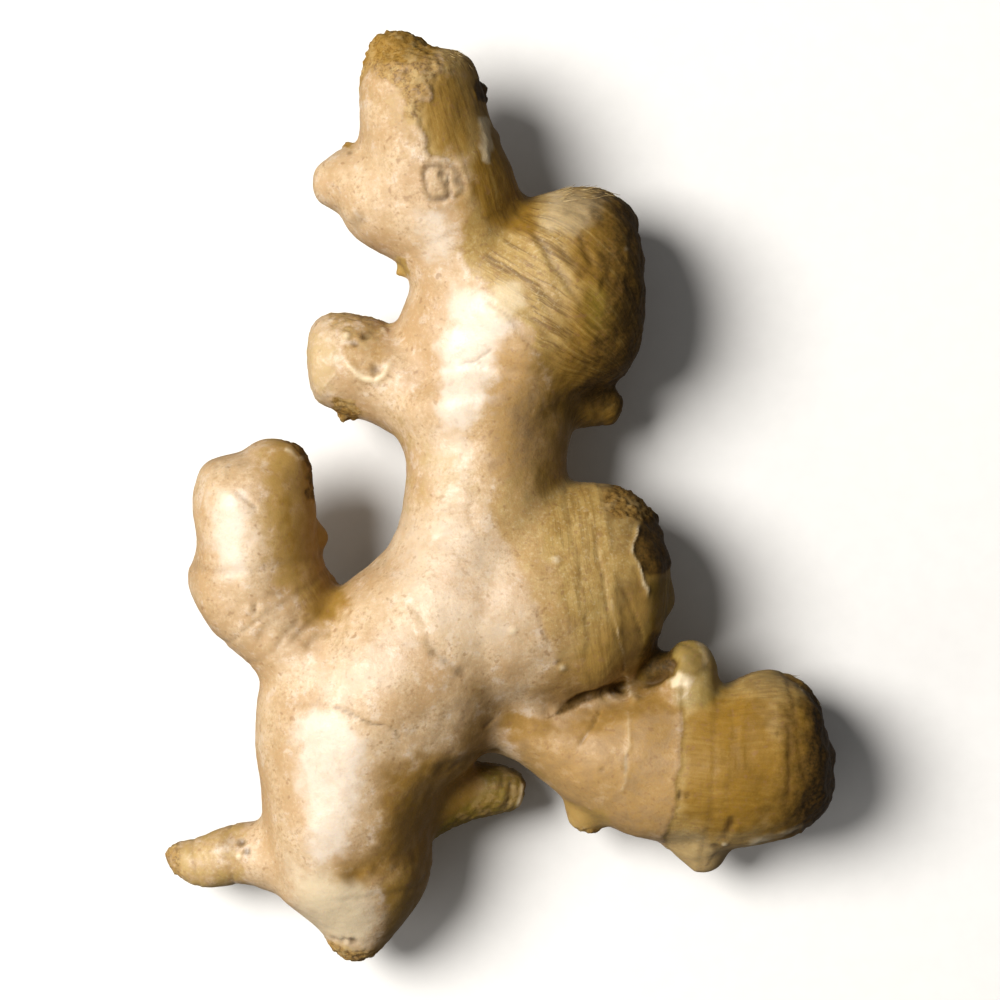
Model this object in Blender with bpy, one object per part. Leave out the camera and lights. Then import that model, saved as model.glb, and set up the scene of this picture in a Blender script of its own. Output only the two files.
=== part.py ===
"""A fresh ginger root lying flat: one rhizome that grew as a single piece, with its fingers, stubs and buds.

Metres, +Z up, +Y along the root towards its crown, +X to the right as seen from above.
The origin is under the middle of the root, on the surface that it rests on.
"""

import math

import bmesh
import bpy
from mathutils import Matrix, Vector, noise

MM = 0.001

# Driving dimensions: the box that the whole root fills as it lies.
LENGTH = 0.160
WIDTH = 0.116
HEIGHT = 0.036

# The root is pressed flat by this much where it touches the surface, at the lowest points of its lobes.
REST_FLAT = 0.0005

# Each lobe is a bulging tube along a curved spine. Its stations run from inside the root to the free end:
# (x, y, z of the spine, half width across it in plan, half height), all in millimetres.
# The number after the stations is how far the rounded free end reaches past the last station.
LIMBS = {
    "foot": (
        [
            (-23.5, -37, 16, 19.4, 15.6),
            (-25.2, -46, 15.5, 16.8, 15.3),
            (-26.4, -54.5, 14.8, 14.8, 14.6),
            (-25.8, -62, 14, 14.1, 12.4),
            (-24.9, -67.4, 13, 13.2, 10.6),
            (-24.6, -72.4, 12.2, 9.2, 8),
            (-24.7, -76, 11.8, 5.4, 5.4),
        ],
        3.8,
    ),
    "trunk": (
        [
            (-26.5, -48.5, 15.5, 14, 14.5),
            (-20.5, -35.5, 17, 18.8, 16.5),
            (-9.3, -21.8, 17.5, 17.4, 16.3),
            (-4, -9.5, 17.5, 14.9, 14.8),
            (-2.5, 5, 17.2, 13.6, 13),
            (-2.5, 12, 17, 15, 13.4),
            (-3, 17, 17, 17, 14.6),
        ],
        8,
    ),
    "east_lobe": (
        [
            (-10, -24.5, 17, 16.3, 15.5),
            (4, -17.6, 17, 19, 16.4),
            (13.5, -16, 16.8, 19.2, 15.6),
            (19.3, -15.5, 16.6, 18.8, 14.6),
            (23.7, -16.2, 16.4, 15, 12.6),
        ],
        4.8,
    ),
    "upper_lobe": (
        [
            (-5.5, 28.2, 16.5, 12.8, 12.6),
            (0.5, 31, 16.5, 17, 15.6),
            (9.5, 35.3, 16.3, 18, 16),
            (16, 37.3, 16, 17.2, 15.2),
            (20.6, 38.1, 15.8, 15.9, 13.8),
            (23, 38.3, 15.8, 13.4, 11.6),
        ],
        1.8,
    ),
    "crown": (
        [
            (-2.4, 29, 17, 12, 13),
            (-5.2, 41, 18, 10.6, 12),
            (-9.3, 51.5, 19.5, 13.2, 12.6),
            (-12.1, 60.6, 21, 12, 12.4),
            (-13.4, 68, 22.2, 10.8, 11.2),
            (-13.8, 73.5, 22.8, 9.8, 9.6),
        ],
        4.5,
    ),
    "left_finger": (
        [
            (-26.6, -33.4, 16.5, 12.8, 13),
            (-34.4, -24, 17.5, 9.2, 11.2),
            (-40.7, -14.4, 18.6, 11.9, 11),
            (-41.2, -7, 19.8, 10.5, 10.6),
            (-41.8, 0, 21, 10.6, 10.2),
            (-41.9, 4.2, 21.4, 9.4, 9.2),
        ],
        4.4,
    ),
    "right_finger": (
        [
            (-1, -34.4, 14.6, 8.7, 10.6),
            (8, -38.3, 14.2, 8.2, 10.2),
            (15, -41.7, 14.4, 10.3, 11.4),
            (22.5, -44, 14.6, 12.8, 12.8),
            (31.5, -45.3, 14.3, 14, 13.5),
            (41, -45.2, 14.3, 14.7, 14),
            (48.4, -43.3, 14.6, 15.2, 13.8),
            (53, -42.6, 14.8, 12.6, 12),
        ],
        4.4,
    ),
}
BUDS = {
    "crown_knob": (
        [
            (-12, 51.6, 19, 12, 12.6),
            (-19.5, 53.4, 18.8, 10.3, 10.4),
            (-25.3, 54.8, 18.2, 7.2, 6.8),
            (-28.6, 54.7, 18, 4.2, 4.4),
        ],
        3.8,
    ),
    "crown_shoulder": (
        [
            (-9.5, 67.5, 21.5, 6.6, 8),
            (-7.8, 72.4, 21.8, 4.4, 5.8),
        ],
        3.2,
    ),
    "crown_horn": (
        [
            (-17.3, 71, 22.2, 6.4, 8),
            (-17.4, 77.4, 22.8, 5, 5.6),
        ],
        3.6,
    ),
    "west_stub": (
        [
            (-13, 19.8, 16, 9.4, 10),
            (-19.5, 21.9, 15.5, 8.4, 8.6),
            (-25.5, 24, 15, 9, 9),
            (-29.8, 24.4, 14.8, 8.2, 8),
        ],
        3.6,
    ),
    "east_stub": (
        [
            (12, 18, 13.5, 5.8, 6),
            (17.5, 16.8, 12.5, 3.4, 3.8),
            (19.5, 16.5, 12.3, 3.3, 3.5),
        ],
        1.5,
    ),
    "left_finger_shoulder": (
        [
            (-44.6, -2, 20.4, 6.6, 7),
            (-47.9, 2.8, 20.8, 3, 4.2),
        ],
        2.2,
    ),
    "left_finger_tip": (
        [
            (-39.4, 0, 20.8, 8.8, 8.4),
            (-37.9, 5.8, 21.4, 6.3, 6.8),
        ],
        5.6,
    ),
    "foot_bud": (
        [
            (-34, -62, 13, 7.6, 7.8),
            (-44, -61.1, 11.5, 5.5, 5.4),
            (-50.5, -62.6, 10.6, 5, 4.8),
            (-54.5, -62.3, 10.3, 3.6, 3.6),
        ],
        3.6,
    ),
    "under_stub": (
        [
            (-14, -51.4, 10.4, 7.8, 8),
            (-7, -50.8, 10.2, 5.7, 6.4),
            (-1, -50.3, 9.6, 4.5, 5.2),
            (1.8, -50.9, 9.2, 3.7, 4.2),
        ],
        2,
    ),
    "elbow_bud": (
        [
            (32.5, -35.5, 18, 6, 6.4),
            (32.8, -29, 19.2, 4.8, 5),
            (32.8, -26.5, 19.6, 3.8, 3.8),
        ],
        3.2,
    ),
    "elbow_root": (
        [
            (26.4, -38, 14.5, 6, 8),
            (26.6, -31, 15.2, 3.6, 6),
            (27.6, -27.4, 15.4, 2.8, 4.4),
        ],
        2,
    ),
    "heel_knob": (
        [
            (33.5, -54.5, 12.5, 8.5, 8),
            (34.8, -59.5, 11.6, 6.2, 6.2),
            (35.6, -62, 11.2, 4.2, 4.2),
        ],
        2.8,
    ),
    "heel_spur": (
        [
            (17, -49, 12.5, 6.6, 6.8),
            (15.3, -54, 11.5, 4.1, 4.4),
            (15, -56.3, 11.2, 3.3, 3.5),
        ],
        1.5,
    ),
}

SPAN_STEPS = 5
CAP_STEPS = 5
RING_SIDES = 28

# The limbs flow into one another; the buds keep tighter joints.
LIMB_VOXEL = 0.0011
LIMB_SMOOTHING = 8
BUD_VOXEL = 0.0009
BUD_SMOOTHING = 5

# Slow, uneven swelling over the whole skin.
LUMP_SPACING = 0.011
LUMP_HEIGHT = 0.0007

TRIANGLES = 7400

SKIN_COLOUR = (0.58, 0.40, 0.19, 1.0)
SKIN_ROUGHNESS = 0.46


def clear_scene():
    for old in list(bpy.data.objects):
        bpy.data.objects.remove(old, do_unlink=True)


def spline_point(before, start, end, after, t):
    """The Catmull-Rom curve between start and end, on every number of a station alike."""
    return [
        0.5 * (2 * b + (c - a) * t + (2 * a - 5 * b + 4 * c - d) * t**2 + (3 * b - a - 3 * c + d) * t**3)
        for a, b, c, d in zip(before, start, end, after)
    ]


def along_spine(stations):
    """The stations with evenly spaced ones between them."""
    padded = [stations[0], *stations, stations[-1]]
    points = []
    for i in range(len(stations) - 1):
        for step in range(SPAN_STEPS):
            points.append(spline_point(*padded[i : i + 4], step / SPAN_STEPS))
    points.append(list(stations[-1]))
    return points


def with_caps(points, tip_length):
    """The spine with rings that close its two ends in quarter ellipses."""
    first = Vector(points[0][:3])
    last = Vector(points[-1][:3])
    back = (first - Vector(points[1][:3])).normalized()
    ahead = (last - Vector(points[-2][:3])).normalized()
    root_length = points[0][4]
    root_cap = []
    tip_cap = []
    for step in range(1, CAP_STEPS):
        angle = 0.5 * math.pi * step / CAP_STEPS
        reach = math.sin(angle)
        shrink = math.cos(angle)
        root_cap.append([*(first + back * root_length * reach), points[0][3] * shrink, points[0][4] * shrink])
        tip_cap.append([*(last + ahead * tip_length * reach), points[-1][3] * shrink, points[-1][4] * shrink])
    root_pole = first + back * root_length
    tip_pole = last + ahead * tip_length
    return root_pole, [*reversed(root_cap), *points, *tip_cap], tip_pole


def add_ring(bm, rows, i):
    """The elliptic cross-section at row i, square to the spine."""
    before = Vector(rows[max(i - 1, 0)][:3])
    after = Vector(rows[min(i + 1, len(rows) - 1)][:3])
    forward = (after - before).normalized()
    side = forward.cross(Vector((0, 0, 1))).normalized()
    upward = side.cross(forward)
    centre = Vector(rows[i][:3])
    half_width, half_height = rows[i][3:]
    ring = []
    for k in range(RING_SIDES):
        angle = 2 * math.pi * k / RING_SIDES
        offset = side * half_width * math.cos(angle) + upward * half_height * math.sin(angle)
        ring.append(bm.verts.new((centre + offset) * MM))
    return ring


def add_lobe(bm, stations, tip_length):
    """One closed, round-ended tube along the stations."""
    root_pole, rows, tip_pole = with_caps(along_spine(stations), tip_length)
    rings = [add_ring(bm, rows, i) for i in range(len(rows))]
    root = bm.verts.new(root_pole * MM)
    tip = bm.verts.new(tip_pole * MM)
    for k in range(RING_SIDES):
        following = (k + 1) % RING_SIDES
        bm.faces.new((root, rings[0][following], rings[0][k]))
        bm.faces.new((tip, rings[-1][k], rings[-1][following]))
        for near, far in zip(rings, rings[1:]):
            bm.faces.new((near[k], near[following], far[following], far[k]))


def mesh_of_lobes(name, lobes):
    mesh = bpy.data.meshes.new(name)
    bm = bmesh.new()
    for stations, tip_length in lobes.values():
        add_lobe(bm, stations, tip_length)
    bmesh.ops.recalc_face_normals(bm, faces=bm.faces)
    bm.to_mesh(mesh)
    bm.free()
    return mesh


def evaluated_copy(mesh, add_modifiers):
    """The mesh as a set of modifiers leaves it."""
    helper = bpy.data.objects.new("helper", mesh)
    bpy.context.scene.collection.objects.link(helper)
    add_modifiers(helper)
    graph = bpy.context.evaluated_depsgraph_get()
    result = bpy.data.meshes.new_from_object(helper.evaluated_get(graph))
    bpy.data.objects.remove(helper, do_unlink=True)
    return result


def grown_together(mesh, voxel, smoothing):
    """Overlapping closed lobes as one skin, with its inner corners filled in by smoothing."""

    def add_modifiers(helper):
        remesh = helper.modifiers.new("one_skin", "REMESH")
        remesh.mode = "VOXEL"
        remesh.voxel_size = voxel
        smooth = helper.modifiers.new("soft_joints", "SMOOTH")
        smooth.factor = 0.5
        smooth.iterations = smoothing

    return evaluated_copy(mesh, add_modifiers)


def joined(first, second):
    mesh = bpy.data.meshes.new("joined")
    bm = bmesh.new()
    bm.from_mesh(first)
    bm.from_mesh(second)
    bm.to_mesh(mesh)
    bm.free()
    return mesh


def add_lumps(mesh):
    """Pushes the skin in and out a little, so that no lobe is a perfect tube."""
    bm = bmesh.new()
    bm.from_mesh(mesh)
    bm.normal_update()
    for vert in bm.verts:
        swelling = noise.noise(vert.co / LUMP_SPACING)
        vert.co += vert.normal * LUMP_HEIGHT * swelling
    bm.to_mesh(mesh)
    bm.free()


def thinned(mesh, triangles):
    """The same skin in about the given number of triangles."""

    def add_modifiers(helper):
        decimate = helper.modifiers.new("fewer_faces", "DECIMATE")
        decimate.ratio = triangles / sum(len(face.vertices) - 2 for face in mesh.polygons)

    return evaluated_copy(mesh, add_modifiers)


def corners(mesh):
    """The lowest and the highest corner of the mesh's box."""
    lowest = Vector([min(vert.co[axis] for vert in mesh.vertices) for axis in range(3)])
    highest = Vector([max(vert.co[axis] for vert in mesh.vertices) for axis in range(3)])
    return lowest, highest


def fit_to_size(mesh):
    """Brings the root to its length, width and height, with the flat of its resting face still to come off."""
    lowest, highest = corners(mesh)
    size = highest - lowest
    wanted = Vector((WIDTH, LENGTH, HEIGHT + REST_FLAT))
    scale = Matrix.Diagonal([wanted[axis] / size[axis] for axis in range(3)]).to_4x4()
    middle = Vector(((lowest.x + highest.x) / 2, (lowest.y + highest.y) / 2, lowest.z))
    mesh.transform(Matrix.Translation((0, 0, -REST_FLAT)) @ scale @ Matrix.Translation(-middle))


def flatten_rest(mesh):
    """Cuts the skin off level where it dips under the surface, and closes each opening with a flat face."""
    bm = bmesh.new()
    bm.from_mesh(mesh)
    everything = [*bm.verts, *bm.edges, *bm.faces]
    bmesh.ops.bisect_plane(bm, geom=everything, plane_co=(0, 0, 0), plane_no=(0, 0, -1), clear_outer=True)
    rims = [edge for edge in bm.edges if edge.is_boundary]
    bmesh.ops.edgeloop_fill(bm, edges=rims)
    bmesh.ops.triangulate(bm, faces=bm.faces)
    bmesh.ops.recalc_face_normals(bm, faces=bm.faces)
    bm.to_mesh(mesh)
    bm.free()


def skin_material():
    material = bpy.data.materials.new("ginger_skin")
    material.use_nodes = True
    shader = material.node_tree.nodes["Principled BSDF"]
    shader.inputs["Base Color"].default_value = SKIN_COLOUR
    shader.inputs["Roughness"].default_value = SKIN_ROUGHNESS
    shader.inputs["Metallic"].default_value = 0.0
    return material


def make_rhizome():
    limbs = grown_together(mesh_of_lobes("limbs", LIMBS), LIMB_VOXEL, LIMB_SMOOTHING)
    buds = mesh_of_lobes("buds", BUDS)
    whole = grown_together(joined(limbs, buds), BUD_VOXEL, BUD_SMOOTHING)
    add_lumps(whole)
    skin = thinned(whole, TRIANGLES)
    fit_to_size(skin)
    flatten_rest(skin)
    skin.name = "ginger_rhizome"
    skin.shade_smooth()
    skin.materials.append(skin_material())
    rhizome = bpy.data.objects.new("ginger_rhizome", skin)
    bpy.context.scene.collection.objects.link(rhizome)


clear_scene()
make_rhizome()
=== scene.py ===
import math

import bmesh
import bpy
import numpy as np
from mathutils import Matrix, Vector


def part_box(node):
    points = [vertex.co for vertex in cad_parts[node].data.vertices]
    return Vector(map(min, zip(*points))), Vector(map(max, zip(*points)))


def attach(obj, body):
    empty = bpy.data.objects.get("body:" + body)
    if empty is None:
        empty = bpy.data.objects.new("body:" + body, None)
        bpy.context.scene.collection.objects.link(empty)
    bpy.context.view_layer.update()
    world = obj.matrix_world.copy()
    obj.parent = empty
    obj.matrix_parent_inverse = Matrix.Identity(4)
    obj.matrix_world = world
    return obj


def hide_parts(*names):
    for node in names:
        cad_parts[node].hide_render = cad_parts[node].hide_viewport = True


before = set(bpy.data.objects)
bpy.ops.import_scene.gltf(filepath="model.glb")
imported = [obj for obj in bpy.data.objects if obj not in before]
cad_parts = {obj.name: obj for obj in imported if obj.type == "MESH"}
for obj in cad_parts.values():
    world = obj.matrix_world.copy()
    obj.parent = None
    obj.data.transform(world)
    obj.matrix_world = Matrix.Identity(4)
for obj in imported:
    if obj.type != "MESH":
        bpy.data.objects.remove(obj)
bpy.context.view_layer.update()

# The looks of a fresh ginger root that lies flat and is seen from above, all in the row frame. The fine skin
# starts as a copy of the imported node, so it has the node's size and place. Surface features are given in
# millimetres, as (x, y) seen from above or as a distance along a limb.

MM = 0.001
NODE = "ginger_rhizome"

SKIN_VOXEL = 0.0005
SKIN_SMOOTHING = 7
NOISE_GAIN = 1.6
TINY = 1e-9
# Sizes of the wanderings over the skin that make every drawn feature uneven.
QUICK_WOBBLE = 1.5
SLOW_WOBBLE = 4.5
DRIFT = 7.0
UNEVENNESS = 2.1
# How the features of the upper side fade where the skin turns down, and how one limb gives way to the next.
TOP_FADE = (-0.1, 0.25)
LIMB_FADE = (0.16, 0.02)

# The centre lines of the limbs, with the radius that each limb has there: (x, y, z, radius).
SPINES = {
    "trunk": [
        (-22, -42, 16, 18), (-14, -28, 17, 18), (-4, -9.5, 17, 15), (-2.5, 5, 17, 13.5), (-3, 17, 17, 15),
    ],
    "foot": [(-24, -42, 16, 17), (-26.4, -54.5, 15, 14.8), (-25.4, -67, 13, 12), (-24.7, -80, 12, 4)],
    "east_lobe": [(-8, -22, 17, 16), (4, -17.6, 17, 17.5), (19.5, -15.5, 16.6, 16.5), (29, -15.5, 16.4, 11)],
    "upper_lobe": [(-9, 26.5, 16.5, 13), (0.5, 31, 16.5, 16), (16, 37.3, 16, 16), (25, 38.3, 15.8, 10)],
    "crown": [(-5.2, 41, 18, 11), (-9.3, 51.5, 19.5, 12.6), (-13.4, 68, 22.2, 11), (-16, 80, 23, 7)],
    "left_finger": [
        (-26, -33, 16.5, 13), (-34.2, -23.6, 17.5, 10.5), (-40.6, -15, 18.6, 11.5), (-41.8, 0, 21, 10.4),
        (-40, 10, 21.4, 7),
    ],
    "right_finger": [
        (8, -38.6, 15, 10), (22.5, -44.2, 14.6, 12.7), (41, -45.2, 14.3, 14.3), (58, -42.6, 14.8, 10),
    ],
    "crown_knob": [(-14, 51.5, 18.5, 10), (-21, 53.8, 18.5, 9), (-32, 55, 18, 4)],
    "west_stub": [(-13, 19.8, 16, 9.7), (-25.5, 24.1, 15, 8.8), (-33.5, 24.6, 14.8, 6)],
    "foot_bud": [(-34, -62, 13, 7.6), (-44, -61.1, 11.5, 5.4), (-58, -62.4, 10.3, 3)],
    "under_stub": [(-14, -51.4, 10.4, 7.8), (-1, -50.3, 9.6, 4.6), (4.5, -51, 9.2, 3)],
    "elbow_bud": [(32.5, -35.5, 18, 6), (32.8, -23, 19.6, 3)],
}


# -------- number fields over the skin


def smoothstep(low, high, value):
    t = np.clip((value - low) / (high - low), 0.0, 1.0)
    return t * t * (3.0 - 2.0 * t)


def bell(gap, width):
    """1 where the gap is nothing, falling away to 0 past the width."""
    return np.exp(-((gap / width) ** 2))


def unit(vector):
    return vector / np.linalg.norm(vector)


def lattice_slopes(ix, iy, iz, seed):
    """A fixed pseudo-random direction for each corner of a lattice."""
    mixed = (ix * 73856093) ^ (iy * 19349663) ^ (iz * 83492791) ^ (seed * 2654435761)
    mixed = (mixed ^ (mixed >> 13)) * 1274126177 & 0xFFFFFFFF
    azimuth = (mixed & 0xFFFF) * (2 * math.pi / 0x10000)
    rise = ((mixed >> 16) & 0xFFFF) / 0x8000 - 1.0
    level = np.sqrt(np.clip(1.0 - rise * rise, 0.0, 1.0))
    return level * np.cos(azimuth), level * np.sin(azimuth), rise


def noise(points, size, seed=0):
    """Smooth gradient noise, about -1 to 1, whose bumps are about the given size across."""
    scaled = points / size
    cell = np.floor(scaled).astype(np.int64)
    inside = scaled - cell
    fade = inside**3 * (inside * (inside * 6 - 15) + 10)
    total = np.zeros(len(points))
    for corner in range(8):
        step = np.array([corner & 1, corner >> 1 & 1, corner >> 2 & 1])
        gx, gy, gz = lattice_slopes(*(cell + step).T, seed)
        away = inside - step
        dot = gx * away[:, 0] + gy * away[:, 1] + gz * away[:, 2]
        weight = np.prod(np.where(step, fade, 1.0 - fade), axis=1)
        total += weight * dot
    return total * NOISE_GAIN


def rough(points, size, octaves, seed=0):
    """Noise with finer and finer noise on it."""
    total = np.zeros(len(points))
    for octave in range(octaves):
        total += noise(points, size / 2**octave, seed + octave) / 2**octave
    return total


def near_line(points, line):
    """For each point, its distance to a polyline and how far along it is, from 0 to 1."""
    ends = np.array(line, float)
    best = np.full(len(points), np.inf)
    along = np.zeros(len(points))
    travelled = 0.0
    for start, end in zip(ends[:-1], ends[1:]):
        run = end - start
        length = np.linalg.norm(run)
        from_start = points - start
        t = np.clip(from_start @ run / length**2, 0.0, 1.0)
        gap = np.linalg.norm(from_start - t[:, None] * run, axis=1)
        nearer = gap < best
        best[nearer] = gap[nearer]
        along[nearer] = travelled + t[nearer] * length
        travelled += length
    return best, along / travelled


def inside_outline(points, outline):
    """Signed distance to a closed outline, positive inside it."""
    gap, _ = near_line(points, [*outline, outline[0]])
    crossings = np.zeros(len(points), bool)
    corners = np.array(outline, float)
    for (x0, y0), (x1, y1) in zip(corners, np.roll(corners, -1, axis=0)):
        spans = (y0 > points[:, 1]) != (y1 > points[:, 1])
        with np.errstate(divide="ignore", invalid="ignore"):
            crosses = points[:, 0] < (x1 - x0) * (points[:, 1] - y0) / (y1 - y0) + x0
        crossings ^= spans & crosses
    return np.where(crossings, gap, -gap)


class Skin:
    """The fine surface as arrays, in millimetres, with the masks that its material reads."""

    def __init__(self, mesh):
        self.mesh = mesh
        flat = np.empty(len(mesh.vertices) * 3)
        mesh.vertices.foreach_get("co", flat)
        self.co = flat.reshape(-1, 3) / MM
        self.masks = {}
        self.refresh()

    def set_unevenness(self):
        """Slow and quick wanderings over the skin, shared by every feature that is drawn on it."""
        quick = np.stack([noise(self.co, QUICK_WOBBLE, seed) for seed in (11, 12)], axis=1)
        slow = np.stack([noise(self.co, SLOW_WOBBLE, seed) for seed in (15, 16)], axis=1)
        self.wobble = 0.7 * quick + 0.9 * slow
        self.drift = noise(self.co, DRIFT, 13)
        self.uneven = noise(self.co, UNEVENNESS, 14)

    def refresh(self):
        """Takes the normals afresh from the moved points."""
        self.mesh.vertices.foreach_set("co", (self.co * MM).ravel())
        self.mesh.update()
        flat = np.empty(len(self.co) * 3)
        self.mesh.vertices.foreach_get("normal", flat)
        self.no = flat.reshape(-1, 3)
        self.xy = self.co[:, :2]
        self.top = smoothstep(*TOP_FADE, self.no[:, 2])

    def push(self, height):
        self.co += self.no * height[:, None]

    def mask(self, name, value):
        """Keeps the larger of the mask so far and this value."""
        self.masks[name] = np.maximum(self.masks.get(name, 0.0), np.clip(value, 0.0, 1.0))

    def wobbly_xy(self, amount):
        """The points seen from above, shifted unevenly, so that what is drawn on them isn't straight."""
        return self.xy + amount * self.wobble

    def disc(self, centre, radius):
        """1 in the middle of an uneven round patch on the upper side, 0 at its edge and beyond."""
        gap = np.linalg.norm(self.wobbly_xy(radius * 0.3) - np.array(centre), axis=1)
        return self.top * smoothstep(radius, 0.0, gap)


class Limb:
    """One limb's own directions at each point of the skin: along it, and out from its centre line."""

    def __init__(self, skin, spine):
        stations = np.array(spine, float)
        self.near = np.full(len(skin.co), np.inf)
        self.along = np.zeros(len(skin.co))
        self.radius = np.zeros(len(skin.co))
        self.out = np.zeros((len(skin.co), 3))
        travelled = 0.0
        for i, (start, end) in enumerate(zip(stations[:-1], stations[1:])):
            run = end[:3] - start[:3]
            length = np.linalg.norm(run)
            from_start = skin.co - start[:3]
            low = -1.0 if i == 0 else 0.0
            high = 2.0 if i == len(stations) - 2 else 1.0
            t = np.clip(from_start @ run / length**2, low, high)
            out = from_start - t[:, None] * run
            radius = start[3] + np.clip(t, 0.0, 1.0) * (end[3] - start[3])
            near = np.linalg.norm(out, axis=1) / radius
            nearer = near < self.near
            self.near[nearer] = near[nearer]
            self.along[nearer] = (travelled + t * length)[nearer]
            self.radius[nearer] = radius[nearer]
            self.out[nearer] = out[nearer]
            travelled += length

    def round(self):
        """Where round the limb each point is: the way out from the centre line, as long as the radius."""
        reach = np.linalg.norm(self.out, axis=1)[:, None] + TINY
        return self.out / reach * self.radius[:, None]


def limbs_of(skin):
    """Every limb, each with how much each point of the skin belongs to it."""
    limbs = {name: Limb(skin, spine) for name, spine in SPINES.items()}
    nearest = np.min([limb.near for limb in limbs.values()], axis=0)
    for limb in limbs.values():
        limb.share = smoothstep(*LIMB_FADE, limb.near - nearest)
    return limbs


# -------- the shape of the skin


def new_object(name, data):
    piece = bpy.data.objects.new(name, data)
    bpy.context.scene.collection.objects.link(piece)
    return piece


def apply_modifiers(obj):
    """Gives the object the mesh that its modifiers leave."""
    graph = bpy.context.evaluated_depsgraph_get()
    mesh = bpy.data.meshes.new_from_object(obj.evaluated_get(graph))
    obj.modifiers.clear()
    obj.data = mesh


def fine_skin(node):
    """A new object with a fine, even mesh of the node's shape."""
    mesh = bpy.data.meshes.new("rhizome_skin")
    bm = bmesh.new()
    bm.from_mesh(node.data)
    bmesh.ops.remove_doubles(bm, verts=bm.verts, dist=0.00001)
    bm.to_mesh(mesh)
    bm.free()
    skin = new_object("rhizome_skin", mesh)
    rounded = skin.modifiers.new("rounded", "SUBSURF")
    rounded.levels = 2
    rounded.render_levels = 2
    even = skin.modifiers.new("even", "REMESH")
    even.mode = "VOXEL"
    even.voxel_size = SKIN_VOXEL
    soft = skin.modifiers.new("soft", "SMOOTH")
    soft.factor = 0.5
    soft.iterations = SKIN_SMOOTHING
    apply_modifiers(skin)
    return skin


LUMPS = ((11.0, 0.30, 1), (5.0, 0.10, 2))


def swell(skin):
    """Uneven growth: slow lumps with smaller ones on them."""
    for size, height, seed in LUMPS:
        skin.push(height * noise(skin.co, size, seed))


# Node rings: (limb, distance along it, width, depth, how dark).
RINGS = (
    ("trunk", 36.5, 1.2, 0.12, 0.15),
    ("trunk", 40, 0.6, 0.1, 0.25),
    ("trunk", 43.5, 1.2, 0.08, 0.1),
    ("foot", 14, 0.6, 0.14, 0.15),
    ("foot", 24, 0.7, 0.22, 0.3),
    ("left_finger", 14.5, 0.5, 0.18, 0.25),
    ("left_finger", 20, 0.6, 0.26, 0.3),
    ("left_finger", 24, 0.4, 0.16, 0.3),
    ("left_finger", 28.5, 0.7, 0.18, 0.3),
    ("left_finger", 40, 0.7, 0.15, 0.2),
    ("crown", 6, 0.8, 0.1, 0.1),
    ("right_finger", 29, 0.5, 0.14, 0.3),
    ("right_finger", 34.5, 0.5, 0.2, 0.4),
    ("right_finger", 40.5, 0.6, 0.28, 0.6),
    ("right_finger", 44.5, 0.5, 0.2, 0.5),
    ("east_lobe", 22, 0.4, 0.14, 0.35),
    ("east_lobe", 28.5, 0.5, 0.2, 0.45),
    ("upper_lobe", 20, 0.5, 0.14, 0.3),
    ("foot_bud", 8, 0.5, 0.25, 0.4),
    ("foot_bud", 12, 0.6, 0.35, 0.6),
    ("foot_bud", 19.5, 0.4, 0.2, 0.4),
    ("under_stub", 15, 0.4, 0.3, 0.6),
    ("elbow_bud", 2.5, 0.5, 0.25, 0.5),
    ("crown_knob", 9, 0.7, 0.12, 0.15),
    ("west_stub", 5, 0.7, 0.3, 0.4),
)
RING_WOBBLE = 0.9
RING_LIP = 0.45
RING_LIP_PLACE = 1.8


def grow_rings(skin, limbs):
    """A shallow groove with a slight lip behind it, round a limb, where a leaf scale once sat."""
    for name, place, width, depth, dark in RINGS:
        limb = limbs[name]
        gap = limb.along - place - RING_WOBBLE * skin.drift
        strength = limb.share * (0.6 + 0.4 * skin.uneven)
        groove = bell(gap, width)
        lip = bell(gap + RING_LIP_PLACE * width, width)
        skin.push(strength * depth * (RING_LIP * lip - groove))
        skin.mask("crease", dark * strength * groove)


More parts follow.
